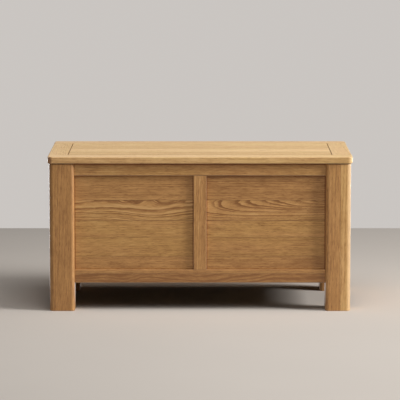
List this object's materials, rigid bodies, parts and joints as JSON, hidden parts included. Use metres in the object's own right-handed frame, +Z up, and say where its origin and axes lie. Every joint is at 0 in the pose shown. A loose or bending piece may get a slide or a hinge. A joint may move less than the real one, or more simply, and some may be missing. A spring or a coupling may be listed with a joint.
{
  "type": "blanket chest",
  "caption": "Framed and panelled oak blanket chest on square legs, with a hinged framed lid held open by gas struts.",
  "frame": {"origin": "on the floor, in the middle of the footprint's bounding box", "axes": "+X along the chest's length to the right, +Y from the front to the back, +Z up"},
  "size_m": [0.9, 0.4584, 0.46],
  "materials": {
    "oak_frame": "satin lacquered oak, long straight grain",
    "oak_panel": "satin lacquered oak staves, glued edge to edge",
    "oak_lid": "satin lacquered oak boards",
    "softwood": "planed softwood, unfinished",
    "brass": "satin brass",
    "zinc_steel": "zinc plated",
    "black_paint": "satin black paint",
    "chromed_steel": "ground and chromed",
    "rubber": "matt moulded"
  },
  "bodies": {
    "chest": {"leg_front_left": "oak_frame", "leg_front_right": "oak_frame", "leg_back_left": "oak_frame", "leg_back_right": "oak_frame", "front_top_rail": "oak_frame", "front_bottom_rail": "oak_frame", "back_top_rail": "oak_frame", "back_bottom_rail": "oak_frame", "left_top_rail": "oak_frame", "left_bottom_rail": "oak_frame", "right_top_rail": "oak_frame", "right_bottom_rail": "oak_frame", "front_muntin": "oak_frame", "back_muntin": "oak_frame", "front_panel_left": "oak_panel", "front_panel_right": "oak_panel", "back_panel_left": "oak_panel", "back_panel_right": "oak_panel", "left_panel": "oak_panel", "right_panel": "oak_panel", "floor_board_1": "softwood", "floor_board_2": "softwood", "floor_board_3": "softwood", "floor_board_4": "softwood", "floor_board_5": "softwood", "floor_cleat_front": "softwood", "floor_cleat_back": "softwood", "floor_cleat_left": "softwood", "floor_cleat_right": "softwood", "floor_bearer": "softwood", "hinge_left_fixed_leaf": "brass", "hinge_left_pin": "brass", "hinge_right_fixed_leaf": "brass", "hinge_right_pin": "brass", "strut_left_lower_bracket": "zinc_steel", "strut_right_lower_bracket": "zinc_steel", "bumper_left": "rubber", "bumper_right": "rubber"},
    "lid": {"lid_front_rail": "oak_lid", "lid_back_rail": "oak_lid", "lid_left_end": "oak_lid", "lid_right_end": "oak_lid", "lid_board_1": "oak_lid", "lid_board_2": "oak_lid", "lid_board_3": "oak_lid", "lid_board_4": "oak_lid", "hinge_left_moving_leaf": "brass", "hinge_right_moving_leaf": "brass", "strut_left_upper_bracket": "zinc_steel", "strut_right_upper_bracket": "zinc_steel"},
    "left_rod": {"strut_left_rod": "chromed_steel"},
    "left_tube": {"strut_left_tube": "black_paint"},
    "right_rod": {"strut_right_rod": "chromed_steel"},
    "right_tube": {"strut_right_tube": "black_paint"}
  },
  "joints": [
    {"name": "lid_hinge", "type": "hinge", "parent": "chest", "child": "lid", "pos_m": [0, 0.22525, 0.439], "axis": [-1, 0, 0], "range_deg": [0, 80]},
    {"name": "left_rod_pivot", "type": "hinge", "parent": "chest", "child": "left_rod", "pos_m": [-0.3597, 0.17275, 0.2564], "axis": [-1, 0, 0], "range_deg": [0, 40]},
    {"name": "left_tube_pivot", "type": "hinge", "parent": "lid", "child": "left_tube", "pos_m": [-0.3597, 0.03566, 0.4265], "axis": [-1, 0, 0], "range_deg": [-40, 0]},
    {"name": "right_rod_pivot", "type": "hinge", "parent": "chest", "child": "right_rod", "pos_m": [0.3597, 0.17275, 0.2564], "axis": [-1, 0, 0], "range_deg": [0, 40]},
    {"name": "right_tube_pivot", "type": "hinge", "parent": "lid", "child": "right_tube", "pos_m": [0.3597, 0.03566, 0.4265], "axis": [-1, 0, 0], "range_deg": [-40, 0]}
  ],
  "couplings": [
    {"joint": "left_rod_pivot", "follows": "lid_hinge", "ratio": 0.5},
    {"joint": "left_tube_pivot", "follows": "lid_hinge", "ratio": -0.5},
    {"joint": "right_rod_pivot", "follows": "lid_hinge", "ratio": 0.5},
    {"joint": "right_tube_pivot", "follows": "lid_hinge", "ratio": -0.5}
  ]
}
